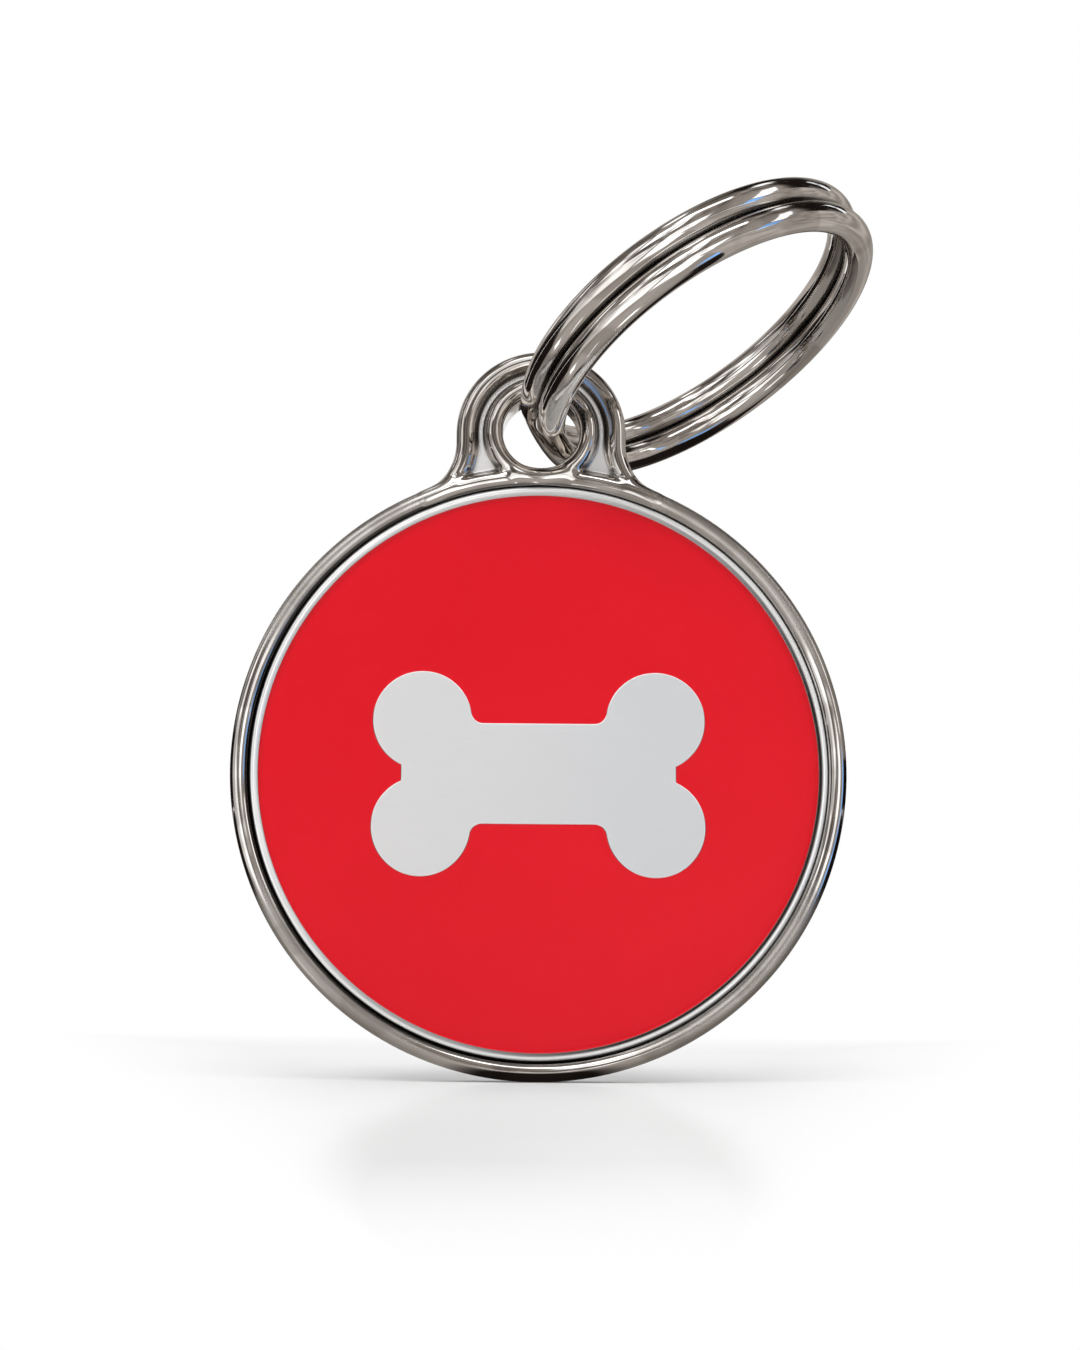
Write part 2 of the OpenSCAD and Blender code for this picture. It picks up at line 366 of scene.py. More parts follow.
class Finish(Tree):
    """The node tree of one material."""

    def __init__(self, name):
        self.material = bpy.data.materials.new(name)
        self.material.use_nodes = True
        super().__init__(self.material.node_tree)
        self.place = self.node("ShaderNodeTexCoord").out("Object")

    def noise(self, scale, detail=2.0, roughness=0.5, vector=None):
        """Soft noise as a value; scale is its number of features in a millimetre."""
        sockets = {"Vector": vector or self.place, "Scale": scale / MM, "Detail": detail,
                   "Roughness": roughness}
        return self.node("ShaderNodeTexNoise", {"noise_dimensions": "3D"}, sockets).value()

    def scratches(self, vector, scale, width):
        """Thin hairlines as a mask of 0 to 1."""
        sockets = {"Vector": vector, "Scale": scale / MM}
        edge = self.node("ShaderNodeTexVoronoi", {"feature": "DISTANCE_TO_EDGE"}, sockets).value()
        return 1 - edge.ramp(0.0, width)

    def stretched(self, scale, turned=(0.0, 0.0, 0.0)):
        """The piece's own coordinates, turned and stretched."""
        sockets = {"Vector": self.place, "Rotation": turned, "Scale": scale}
        return self.node("ShaderNodeMapping", sockets=sockets).out()

    def stored(self, name):
        """A number that the piece stores for each of its points."""
        return self.node("ShaderNodeAttribute", {"attribute_name": name}).value("Fac")

    def layered(self, tone, *layers):
        """A colour under others, each given with its share."""
        for cover, over in layers:
            tone = self.mixed(cover, tone, over)
        return tone

    def bump(self, height, distance):
        """A normal that follows a height of 0 to 1."""
        sockets = {"Height": height, "Distance": distance, "Strength": 1.0}
        return self.node("ShaderNodeBump", sockets=sockets)

    def glow(self, tone, strength=1.0):
        return self.node("ShaderNodeEmission", sockets={"Color": tone, "Strength": strength})

    def surface(self, **sockets):
        """Ends the tree in an ordinary surface."""
        named = {name.replace("_", " ").title().replace("Ior", "IOR"): value
                 for name, value in sockets.items()}
        return self.ended(self.node("ShaderNodeBsdfPrincipled", sockets=named))

    def one_sided(self, shader):
        """Ends the tree in a shader that shows from the front only."""
        behind = self.node("ShaderNodeNewGeometry").value("Backfacing")
        through = self.node("ShaderNodeBsdfTransparent")
        return self.ended(self.node("ShaderNodeMixShader", sockets={0: behind, 1: shader, 2: through}))

    def shown_only(self, shader):
        """Ends the tree in a one-sided glow that isn't sampled as a lamp."""
        self.material.cycles.emission_sampling = "NONE"
        return self.one_sided(shader)

    def ended(self, shader):
        self.node("ShaderNodeOutputMaterial", sockets={"Surface": shader})
        return self.material


# Finishes


def toned(tone, shares):
    """A colour with each of its parts lowered to a share."""
    return [part * kept for part, kept in zip(tone, shares)]


def polished_nickel(name, settings, wire=False):
    """Bright nickel plating with casting ripple, hairlines, duller patches and painted shade in the
    recesses. The cast frame adds what it stores: a satin web, rubbed faces, and painted shade over the
    eyelet and on the border bead's flanks that turn right."""
    finish = Finish(name)
    cloud, grain = finish.noise(0.22, 3.0), finish.noise(9.0, 3.0)
    patches = finish.noise(0.42, 1.0, 0.4).ramp(0.5, 0.58)
    dull = toned(settings.nickel, (0.95, 0.93, 0.91))
    tone = finish.layered(settings.nickel, (cloud.ramp(0.3, 0.7), dull), (0.5 * patches, settings.worn_and_shaded))
    rough = settings.nickel_rough * (0.75 + 0.5 * grain)
    if wire:
        skin = finish.node("ShaderNodeAttribute", {"attribute_name": "wire_skin"}).out("Vector")
        hairs = finish.scratches(finish.vector("MULTIPLY", skin, (0.35, 1.0, 1.0)), 1.1, 0.02)
        ripple = 1.6 * finish.noise(0.55, 1.0, 0.4, finish.vector("MULTIPLY", skin, (1.0, 0.7, 0.7)))
        # Painted shade between the coils, where the wire is enclosed
        metallic, occlusion_shade, depth = 1.0, finish.stored("recess").ramp(0.45, 1.0), 0.62
    else:
        satin, lee, worn_and_shaded, rubbed = (finish.stored(mark) for mark in ("satin", "lee", "worn_and_shaded", "rubbed"))
        rubbed = (rubbed * (0.6 + 0.8 * cloud)).clamped()
        hairs = finish.scratches(finish.stretched((0.3, 1.0, 1.4), (0.2, 0.5, 0.7)), 0.9, 0.015)
        ripple = finish.noise(0.5, 1.0, 0.4)
        metallic, rough = 1 - 0.6 * satin, rough + 0.4 * satin + 0.3 * rubbed
        # Painted shade in the recesses, less on the satin web
        occlusion_shade, depth = finish.stored("recess").ramp(0.12, 0.67) * (1 - 0.85 * satin), 0.9
        # Painted shade over the eyelet and on the bead's flanks that turn right; the same dull tone on rubbed
        # faces
        tone = finish.layered(tone, (worn_and_shaded * (0.4 + 0.8 * cloud), settings.worn_and_shaded),
                              ((lee * (0.7 + 0.5 * cloud)).clamped(), settings.shade),
                              (satin * (0.5 + 0.4 * cloud), (0.93, 0.93, 0.94)),
                              (rubbed * 0.6, settings.worn_and_shaded))
    hairs = hairs * finish.noise(0.7).ramp(0.52, 0.64)
    occlusion_shade = (occlusion_shade * (0.75 + 0.4 * cloud)).clamped()
    height = ripple + 0.003 * grain - 0.01 * hairs
    return finish.surface(base_color=finish.mixed(occlusion_shade * depth, tone, settings.painted_shade_tone), metallic=metallic,
                          roughness=rough + 0.08 * hairs + 0.16 * occlusion_shade,
                          normal=finish.bump(height, settings.ripple))


def polished_lip(settings):
    """The tray's bright lip beside the enamel, with painted shade in its recesses and on its slopes that turn
    away from the light.
    """
    finish = Finish("tray_polished_lip")
    grain = finish.noise(6.0, 3.0)
    occlusion_shade = (finish.stored("recess").ramp(0.35, 1.0) * (0.6 + 0.5 * finish.noise(0.3))).clamped()
    bright = [min(1.16 * part, 1.0) for part in settings.tray]
    # Painted shade: recesses and the slopes that turn away from the light take the dark tone
    tone = finish.layered(bright, (occlusion_shade * 0.75, settings.painted_shade_tone), (finish.stored("lee"), settings.painted_shade_tone))
    height = finish.noise(0.45, 1.0, 0.4) + 0.01 * grain
    return finish.surface(base_color=tone, metallic=0.35, roughness=0.09 + 0.08 * grain + 0.2 * occlusion_shade,
                          normal=finish.bump(height, settings.ripple * 0.6))


def brushed_back(settings):
    """The tray's flat back: a fine straight brushing, ready to be engraved, with a few handling marks."""
    finish = Finish("tray_brushed_back")
    lines = finish.noise(11.0, 4.0, 0.6, finish.stretched((0.02, 1.0, 1.0)))
    marks = finish.scratches(finish.stretched((0.25, 1.0, 1.0), (0.0, 0.55, 0.0)), 0.28, 0.006)
    marks = marks * finish.noise(0.25).ramp(0.52, 0.6)
    tone = finish.mixed(lines, settings.tray, toned(settings.tray, (0.88, 0.88, 0.88)))
    rough = 0.2 + 0.12 * lines + 0.08 * finish.noise(0.09, 3.0) + 0.1 * marks
    return finish.surface(base_color=tone, metallic=0.6, roughness=rough,
                          normal=finish.bump(lines - 0.6 * marks, 0.0000022))


def glossy_enamel(settings):
    """Hard red enamel: even colour with a faint cloud, a fine peel and a few dust nibs."""
    finish = Finish("red_hard_enamel")
    cloud, peel, fine = finish.noise(0.12, 3.0), finish.noise(1.3), finish.noise(14.0)
    nibs = finish.scratches(finish.stretched((0.4, 1.0, 1.0), (0.3, 0.2, 0.9)), 0.35, 0.004)
    nibs = nibs * finish.noise(0.3).ramp(0.58, 0.66)
    tone = finish.mixed(cloud.ramp(0.25, 0.75), toned(settings.enamel, (0.965, 0.9, 0.92)), settings.enamel)
    rough = settings.enamel_rough + 0.08 * (fine - 0.5) + 0.06 * nibs
    return finish.surface(base_color=tone, roughness=rough, specular_ior_level=0.22,
                          normal=finish.bump(peel + 0.12 * fine, 0.000004))


def satin_steel(settings):
    """The bone's satin steel: a fine even grain, painted shade that makes the right end darker and cooler,
    and a painted highlight on the edge where it faces up, with painted shade where it turns aside."""
    finish = Finish("bone_satin_steel")
    edge = finish.stored("edge")
    lines = finish.noise(16.0, 3.0, 0.6, finish.stretched((0.06, 1.0, 1.0)))
    cloud = finish.noise(0.16, 3.0)
    x, _, _ = finish.parts(finish.place)
    across, _, up = finish.parts(finish.node("ShaderNodeNewGeometry").out("Normal"))
    # Painted highlight on the edge where its normal in the world points up, painted shade where it points
    # aside
    lit, turned = edge * up.ramp(0.05, 0.4), edge * abs(across).ramp(0.3, 0.6) * up.ramp(0.3, 0.0)
    # Painted shade: darker and cooler towards the right end
    tone = finish.layered(settings.bone, ((x - DISC_CENTRE.x).ramp(-0.009, 0.009), settings.bone_shaded_end),
                          (0.25 * lines + 0.2 * cloud, (0.66, 0.66, 0.67)),
                          (lit.clamped(), WHITE), (turned.clamped(), (0.1, 0.1, 0.11)))
    rough = (settings.bone_rough + 0.07 * (lines - 0.5) + 0.05 * (cloud - 0.5)) * (1 - 0.6 * edge)
    return finish.surface(base_color=tone, metallic=0.35 - 0.35 * edge, roughness=rough,
                          normal=finish.bump(lines, 0.0000012))


# Shapes, in millimetres round the disc's centre: x right, y up, z out of the enamelled face


def on_tag(points):
    """Disc millimetres to metres in the part's frame."""
    points = np.asarray(points, float)
    stood = np.stack([points[..., 0], -points[..., 2], points[..., 1]], -1)
    return stood * MM + np.array(DISC_CENTRE)


def soft_min(first, second, width):
    """The lesser of two distances, with a fillet where they meet."""
    near = np.maximum(width - np.abs(first - second), 0.0) / width
    return np.minimum(first, second) - near * near * width / 4


def soft_max(first, second, width):
    """The greater of two distances, with a rounded edge where they meet."""
    return -soft_min(-first, -second, width)


def rising(values, start, end):
    """0 up to start, 1 from end on and straight in between; end may be the lower of the two."""
    return np.clip((values - start) / (end - start), 0.0, 1.0)


def from_axis(points):
    """Distance from the disc's axis, never quite nothing, so that it can divide."""
    return np.maximum(np.hypot(points[..., 0], points[..., 1]), 0.001)


class TagForm:
    """The sizes of the disc and eyelet in millimetres, with what follows from them."""

    # Edges and blends too fine for a setting
    front_edge, dome_room, dome_blend = 0.08, 0.2, 0.06
    hole_edge, seat_edge, bore_edge = 0.1, 0.06, 0.04
    web_reach, eyelet_reach = 0.3, 0.1
    # Enamel and bone end this much above the tray's floor, so that no faces share a plane
    bed_gap = 0.012

    def __init__(self, settings):
        disc, eyelet, ring = settings.disc, settings.eyelet, settings.ring
        self.disc_r = mm(disc.diameter) / 2
        self.front = mm(disc.depth) / 2
        self.bead = mm(disc.bead)
        self.back_edge = mm(disc.back_edge)
        self.crown = mm(disc.crown)
        self.bore_r = self.disc_r - self.bead
        self.flange = mm(disc.flange)
        self.flange_r = self.bore_r + mm(disc.flange_reach)
        self.lip = mm(disc.lip)
        self.lip_top = self.front - mm(disc.lip_drop)
        self.floor_z = mm(disc.floor) - self.front
        self.bed_z = self.floor_z + self.bed_gap
        self.enamel_r = self.bore_r - self.lip
        self.enamel_z = self.front - mm(disc.enamel_drop)
        self.meniscus = mm(disc.meniscus)
        self.wire = mm(ring.wire)
        self.coil_pitch = mm(ring.wire + ring.gap)
        self.hole_r = (self.wire + self.coil_pitch + mm(eyelet.play)) / 2
        self.eye_y = self.disc_r + self.hole_r
        self.collar = mm(eyelet.collar)
        self.collar_depth = mm(eyelet.collar_depth)
        self.eye_bead = mm(eyelet.bead)
        self.eye_bead_depth = mm(eyelet.bead_depth)
        self.eye_bead_r = self.hole_r + self.collar + mm(eyelet.recess) + self.eye_bead / 2
        self.web = mm(eyelet.web)
        self.flare_x = self.eye_bead_r + self.eye_bead / 2 + mm(eyelet.flare)
        reach = self.disc_r + mm(eyelet.flare) - mm(eyelet.flare_sink)
        self.flare_y = math.sqrt(reach ** 2 - self.flare_x ** 2)
        self.flare_turn = math.atan2(self.flare_y, self.flare_x)
        self.flare_r = mm(eyelet.flare) + self.eye_bead / 2
        self.blend = mm(eyelet.cast_blend)

    def rim(self, r, z):
        """Distance to the disc's border: a bar with a domed front and a softened back."""
        across = r - (self.disc_r - self.bead / 2)
        edge = np.where((z < 0) & (across > 0), self.back_edge, self.front_edge)
        wide = np.abs(across) - self.bead / 2 + edge
        deep = np.abs(z) - self.front - np.where(z > 0, self.dome_room, 0.0) + edge
        outside = np.hypot(np.maximum(wide, 0.0), np.maximum(deep, 0.0))
        bar = np.minimum(np.maximum(wide, deep), 0.0) + outside - edge
        dome = np.hypot(across, np.maximum(z - self.front + self.crown, 0.0)) - self.crown
        return soft_max(bar, dome, self.dome_blend)

    def eyelet_line(self, x, y):
        """Distance to the middle line of the eyelet's bead, and whether a point lies within it."""
        side = np.abs(x)
        up = y - self.eye_y
        arch = np.where(up >= 0, np.abs(np.hypot(side, up) - self.eye_bead_r), np.inf)
        level = np.clip(y, self.flare_y, self.eye_y)
        leg = np.hypot(side - self.eye_bead_r, y - level)
        out, rise = side - self.flare_x, y - self.flare_y
        from_flare = np.hypot(out, rise)
        turned = np.mod(np.arctan2(rise, out), 2 * math.pi) - math.pi
        ends = math.pi + self.flare_turn
        tip = np.hypot(out - self.flare_r * math.cos(ends), rise - self.flare_r * math.sin(ends))
        on_arc = (turned >= 0) & (turned <= self.flare_turn)
        flare = np.where(on_arc, np.abs(from_flare - self.flare_r), tip)
        line = np.minimum(np.minimum(arch, leg), flare)
        in_arch = (up >= 0) & (np.hypot(side, up) < self.eye_bead_r)
        in_legs = (up < 0) & (y >= self.flare_y) & (side < self.eye_bead_r)
        in_flare = (y < self.flare_y) & (y > self.disc_r / 2) & (side < self.flare_x)
        in_flare = in_flare & (from_flare > self.flare_r)
        return line, in_arch | in_legs | in_flare

    @staticmethod
    def bar(across, z, width, depth):
        """Distance to a bar with both ends round, seen in its section."""
        return np.hypot(across, np.maximum(np.abs(z) - (depth - width) / 2, 0.0)) - width / 2

    def frame(self, points):
        """Distance to the cast frame."""
        x, y, z = points[..., 0], points[..., 1], points[..., 2]
        r = np.hypot(x, y)
        from_hole = np.hypot(x, y - self.eye_y)
        line, within = self.eyelet_line(x, y)
        bead = self.bar(line, z, self.eye_bead, self.eye_bead_depth)
        collar = self.bar(from_hole - self.hole_r - self.collar / 2, z, self.collar, self.collar_depth)
        web = np.maximum(np.where(within, -line, line), np.abs(z) - self.web / 2)
        web = np.maximum(web, self.hole_r + self.web_reach - from_hole)
        eyelet = soft_min(soft_min(web, bead, self.blend), collar, self.blend)
        eyelet = np.maximum(eyelet, self.bore_r + self.eyelet_reach - r)
        past_flare = np.abs(x) * math.sin(self.flare_turn) - y * math.cos(self.flare_turn)
        eyelet = soft_max(eyelet, past_flare, self.blend)
        whole = soft_min(self.rim(r, z), eyelet, self.blend)
        whole = soft_max(whole, self.hole_r - from_hole, self.hole_edge)
        seat = np.maximum(r - self.flange_r, z + self.front - self.flange)
        whole = soft_max(whole, -seat, self.seat_edge)
        return soft_max(whole, self.bore_r - r, self.bore_edge)

    def on_web(self, points, normals):
        """1 on the recessed plate of the eyelet, 0 elsewhere, with a soft change."""
        flat = rising(np.abs(normals[..., 2]), 0.86, 0.98)
        low = rising(np.abs(points[..., 2]), self.web / 2 + 0.14, self.web / 2 + 0.04)
        return flat * low * (points[..., 1] > self.disc_r * 0.8)

    @staticmethod
    def to_left(points):
        """1 on the disc's left side, 0 on its right, in between above and below."""
        return 0.5 - 0.5 * points[..., 0] / from_axis(points)

    def facing_in(self, points, normals):
        """How far a face near the border turns to the disc's middle, below 0 where it turns away."""
        radius = from_axis(points)
        inwards = -(points[..., 0] * normals[..., 0] + points[..., 1] * normals[..., 1]) / radius
        return inwards * (points[..., 2] > 0.2) * (radius < self.disc_r + 0.05)

    def painted_side_shade(self, points, normals):
        """Painted shade: 1 where the border bead turns right, to the dark side of the studio, 0 where it
        turns left.
        """
        inwards, left = self.facing_in(points, normals), self.to_left(points)
        inner = rising(inwards, 0.5, 0.75) * (0.05 + 0.87 * left ** 1.4)
        outer = rising(-inwards, 0.42, 0.62) * (1 - left) ** 2 * 0.7
        return np.maximum(inner, outer) * (inwards != 0)

    def on_rubbed(self, points):
        """1 where the border is rubbed dull, between its top, sides and bottom, 0 elsewhere."""
        crossed = np.abs(np.sin(2 * np.arctan2(points[..., 1], points[..., 0])))
        return rising(crossed, 0.62, 0.87) * (1 - self.on_eyelet(points)) * (points[..., 2] > 0.1)

    def on_eyelet(self, points):
        """1 on the eyelet, 0 on the disc, with a soft change where they meet."""
        return rising(from_axis(points) - self.disc_r, -0.1, 0.5)

    def surroundings(self, points):
        """Distance to all that can shade the frame or the tray: frame, lip and enamel."""
        r, z, lip_r = from_axis(points), points[..., 2], self.lip / 2
        lip = np.hypot(r - self.enamel_r - lip_r, np.maximum(z - self.lip_top + lip_r, 0.0)) - lip_r
        poured = np.maximum(r - self.bore_r, z - self.enamel_z)
        return np.minimum(np.minimum(self.frame(points), lip), poured)


def slope(distance, points, step=0.002):
    """Unit slope of a distance function."""
    shifts = np.eye(3) * step
    made = np.stack([distance(points + shift) - distance(points - shift) for shift in shifts], -1)
    return made / np.maximum(np.linalg.norm(made, axis=-1, keepdims=True), 1e-12)


def net(distance, place, shape):
    """A closed net of quads on the zero of a distance function. place maps grid indices (outwards,
    round, forwards) to points; the second index closes on itself."""
    corners = place(*np.meshgrid(*[np.arange(count) for count in shape], indexing="ij"))
    corners = np.concatenate([corners, corners[:, :1]], 1)
    depth = distance(corners)
    inside = depth < 0
    cells = tuple(count - 1 for count in depth.shape)
    total, count = np.zeros((*cells, 3)), np.zeros(cells)
    for axis in range(3):
        for step_one in (0, 1):
            for step_two in (0, 1):
                steps = np.insert((step_one, step_two), axis, 0)
                low = tuple(slice(step, step + cell) for step, cell in zip(steps, cells))
                steps[axis] = 1
                high = tuple(slice(step, step + cell) for step, cell in zip(steps, cells))
                crossed = inside[low] != inside[high]
                gap = np.where(crossed, depth[low] - depth[high], 1.0)
                along = np.where(crossed, depth[low] / gap, 0.0)[..., None]
                found = corners[low] + along * (corners[high] - corners[low])
                total += np.where(crossed[..., None], found, 0.0)
                count += crossed
    used = count > 0
    index = np.full(cells, -1)
    index[used] = np.arange(used.sum())
    quads = []
    for axis in range(3):
        one, two = (axis + 1) % 3, (axis + 2) % 3
        low = tuple(slice(0, cell) for cell in cells)
        high = tuple(slice(step, step + cell) for step, cell in zip(np.eye(3, dtype=int)[axis], cells))
        flips = inside[low].astype(int) - inside[high].astype(int)
        where = np.argwhere(flips != 0)
        ring = []
        for step_one, step_two in ((-1, -1), (0, -1), (0, 0), (-1, 0)):
            cell = where.copy()
            cell[:, one] += step_one
            cell[:, two] += step_two
            cell[:, 1] %= cells[1]
            ring.append(index[tuple(cell.T)])
        ring = np.stack(ring, 1)
        back = flips[tuple(where.T)] < 0
        ring[back] = ring[back][:, ::-1]
        quads.append(ring)
    return total[used] / count[used][:, None], np.concatenate(quads)


def settle(distance, points, rounds=4):
    """Moves points onto the zero of a distance function and returns them with their normals."""
    for _ in range(rounds):
        points = points - distance(points)[:, None] * slope(distance, points)
    return points, slope(distance, points)


def shade_of(distance, points, normals, reach):
    """How enclosed each point is, from 0 in the open to 1 in a tight corner."""
    return rising(distance(points + normals * reach), reach, 0.0)


def lathe(profile, segments):
    """A turned shape from a profile of (radius, height), run anticlockwise; a zero radius makes a pole."""
    turns = np.arange(segments) * 2 * math.pi / segments
    points, rows = [], []
    for radius, height in profile:
        if radius < 1e-9:
            rows.append(np.full(segments, len(points)))
            points.append((0.0, 0.0, height))
        else:
            rows.append(np.arange(segments) + len(points))
            points += [(radius * math.cos(t), radius * math.sin(t), height) for t in turns]
    faces = []
    for low, high in zip(rows, rows[1:]):
        for n in range(segments):
            after = (n + 1) % segments
            face = [low[n], low[after], high[after], high[n]]
            faces.append([v for i, v in enumerate(face) if v not in face[:i]])
    return np.array(points), faces


def arc(centre, radius, start, end, count):
    """Points of an arc in the profile's plane; angles in degrees."""
    turns = np.radians(np.linspace(start, end, count))
    return [(centre[0] + radius * math.cos(a), centre[1] + radius * math.sin(a)) for a in turns]


def bone_line(bone, inset=0.0):
    """The bone's outline as a closed line, drawn in by the given amount."""
    lobe = mm(bone.lobe) / 2 - inset
    half = mm(bone.shaft_height) / 2 - inset
    end = mm(bone.shaft_length) / 2 - inset
    lobe_x, lobe_y = mm(bone.pitch_along) / 2, mm(bone.pitch_across) / 2
    fillet = mm(bone.fillet) + inset
    fillet_y = half + fillet
    fillet_x = lobe_x - math.sqrt((lobe + fillet) ** 2 - (fillet_y - lobe_y) ** 2)
    lean = math.degrees(math.atan2(lobe_y - fillet_y, lobe_x - fillet_x))
    notch = -math.degrees(math.acos((end - lobe_x) / lobe))
    quarter = [(x, half) for x in np.linspace(0.0, fillet_x, 12, endpoint=False)]
    quarter += arc((fillet_x, fillet_y), fillet, -90, lean, 16)[:-1]
    quarter += arc((lobe_x, lobe_y), lobe, 180 + lean, notch, 90)
    notch_y = quarter[-1][1]
    quarter += [(end, y) for y in np.linspace(notch_y, 0.0, 4)[1:]]
    right = quarter + [(x, -y) for x, y in quarter[-2::-1]]
    whole = right + [(-x, y) for x, y in right[-2:0:-1]]
    return np.array(whole)[::-1] - np.array((0.0, mm(bone.drop)))


def within(point, loop):
    """Whether a point lies inside a closed line."""
    x, y = point
    here, after = np.asarray(loop), np.roll(loop, -1, 0)
    spans = (here[:, 1] > y) != (after[:, 1] > y)
    rise = np.where(spans, after[:, 1] - here[:, 1], 1.0)
    cross = here[:, 0] + (y - here[:, 1]) / rise * (after[:, 0] - here[:, 0])
    return bool(np.count_nonzero(spans & (cross > x)) % 2)


def filled(outer, holes):
    """Triangles inside a closed line and outside the holes, as places in the joined lines."""
    loops = [outer, *holes]
    points = [Vector(point) for loop in loops for point in loop]
    edges, start = [], 0
    for loop in loops:
        count = len(loop)
        edges += [(start + n, start + (n + 1) % count) for n in range(count)]
        start += count
    made = delaunay_2d_cdt(points, edges, [], 1, 1e-7)
    if len(made[0]) != len(points):
        raise RuntimeError("the fill added or lost points")
    faces = []
    for face in made[2]:
        middle = sum((made[0][n] for n in face), Vector((0.0, 0.0))) / len(face)
        if not any(within(middle, hole) for hole in holes):
            faces.append([made[3][n][0] for n in face])
    return faces


class MeshBuilder:
    """Collects the points and faces of a piece that is made of rows."""

    def __init__(self):
        self.points = []
        self.faces = []

    def row(self, line, height):
        """Adds a closed line at a height and returns its indices."""
        start = len(self.points)
        heights = np.broadcast_to(height, len(line))
        self.points += [(x, y, z) for (x, y), z in zip(line, heights)]
        return list(range(start, start + len(line)))

    def bands(self, rows):
        """Quads between each row and the next; seen along a row's way, the next lies to the left."""
        for low, high in zip(rows, rows[1:]):
            for n, after in enumerate([*range(1, len(low)), 0]):
                self.faces.append([low[n], low[after], high[after], high[n]])

    def cap(self, outer, *holes, up=True):
        """Fills the inside of a row, or the space between it and the rows of holes."""
        rows = [outer, *holes]
        known = [n for row in rows for n in row]
        lines = [[self.points[n][:2] for n in row] for row in rows]
        for face in filled(lines[0], lines[1:]):
            made = [known[n] for n in face]
            area = sum(self.points[a][0] * self.points[b][1] - self.points[b][0] * self.points[a][1]
                       for a, b in zip(made, made[1:] + made[:1]))
            self.faces.append(made if (area > 0) == up else made[::-1])


def mesh_piece(name, points, faces, materials, crease=None, normals=None):
    """A mesh object at the origin from points in metres, with sharp edges from a crease in degrees up."""
    mesh = bpy.data.meshes.new(name)
    mesh.from_pydata(np.asarray(points).tolist(), [], [list(map(int, face)) for face in faces])
    mesh.validate()
    mesh.shade_smooth()
    if crease:
        mesh.set_sharp_from_angle(angle=math.radians(crease))
    if normals is not None:
        mesh.normals_split_custom_set_from_vertices(np.asarray(normals).tolist())
    for material in materials:
        mesh.materials.append(material)
    piece = bpy.data.objects.new(name, mesh)
    bpy.context.scene.collection.objects.link(piece)
    return piece


def store(piece, name, values):
    """Stores a number for each point of a piece, for its finish to read."""
    layer = piece.data.attributes.new(name, "FLOAT", "POINT")
    layer.data.foreach_set("value", np.asarray(values, np.float32))


def check_made(piece):
    """Raises an error unless the piece is closed and inside its share of triangles."""
    made = bmesh.new()
    made.from_mesh(piece.data)
    open_edges = sum(1 for edge in made.edges if len(edge.link_faces) != 2)
    volume = made.calc_volume(signed=True)
    made.free()
    triangles = sum(len(face.vertices) - 2 for face in piece.data.polygons)
    print(piece.name, "open edges", open_edges, "triangles", triangles, "volume mm3", round(volume * 1e9, 2))
    if open_edges or volume <= 0 or triangles >= MOST_TRIANGLES:
        raise RuntimeError(piece.name + " isn't a closed piece of a fair size")


# Pieces


class PETTAG_OT_build_frame(bpy.types.Operator):
    """Casts the frame: border bead, eyelet bead, recessed web and collar flow into each other"""

    bl_idname = "pet_tag.build_frame"
    bl_label = "Build Frame"

    def execute(self, context):
        settings = context.scene.pet_tag
        form = TagForm(settings)
        margin, fine = 0.25, 0.075
        outer = form.eye_y + form.eye_bead_r + form.eye_bead / 2 + margin
        deep = form.collar_depth / 2 + margin
        radii = np.arange(form.bore_r - margin, outer, fine)
        heights = np.arange(-deep, deep + fine, fine)
        # The grid stands closer round the disc's top, where the eyelet is
        top, spread, dense, loose = math.pi / 2, math.radians(32), 0.0068, 0.0105
        rounds = np.concatenate([np.arange(top - spread, top + spread, dense),
                                 np.arange(top + spread, top - spread + 2 * math.pi - loose / 2, loose)])

        def place(i, j, k):
            return np.stack([radii[i] * np.cos(rounds[j]), radii[i] * np.sin(rounds[j]), heights[k]], -1)

        points, quads = net(form.frame, place, (len(radii), len(rounds), len(heights)))
        points, normals = settle(form.frame, points)
        stood = np.stack([normals[:, 0], -normals[:, 2], normals[:, 1]], -1)
        piece = mesh_piece("frame_cast_nickel", on_tag(points), quads,
                           [polished_nickel("frame_polished_nickel", settings.finish)], normals=stood)
        inwards, left = form.facing_in(points, normals), form.to_left(points)
        # Painted shade: recesses darkened by how enclosed they are, more on the disc's left, and the inner
        # flank of the left half darkened to black
        shaded = shade_of(form.surroundings, points, normals, reach=0.45)
        recess_shade = np.where(inwards != 0, 0.55 + 0.45 * left, 1.0) * shaded
        store(piece, "recess", np.maximum(recess_shade, rising(inwards, 0.62, 0.72) * left ** 1.5))
        store(piece, "satin", form.on_web(points, normals))
        # Painted shade on the border bead's flanks that turn right
        store(piece, "lee", form.painted_side_shade(points, normals))
        store(piece, "rubbed", form.on_rubbed(points))
        # Painted shade: the eyelet is painted darker, most on its left, but not on its web
        darkened = (0.35 + 0.65 * rising(points[:, 0], 2.5, -2.5)) * form.on_eyelet(points)
        store(piece, "worn_and_shaded", darkened * (1 - form.on_web(points, normals)))
        check_made(piece)
        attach(piece, "tag")
        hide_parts("rim_frame")
        return {"FINISHED"}


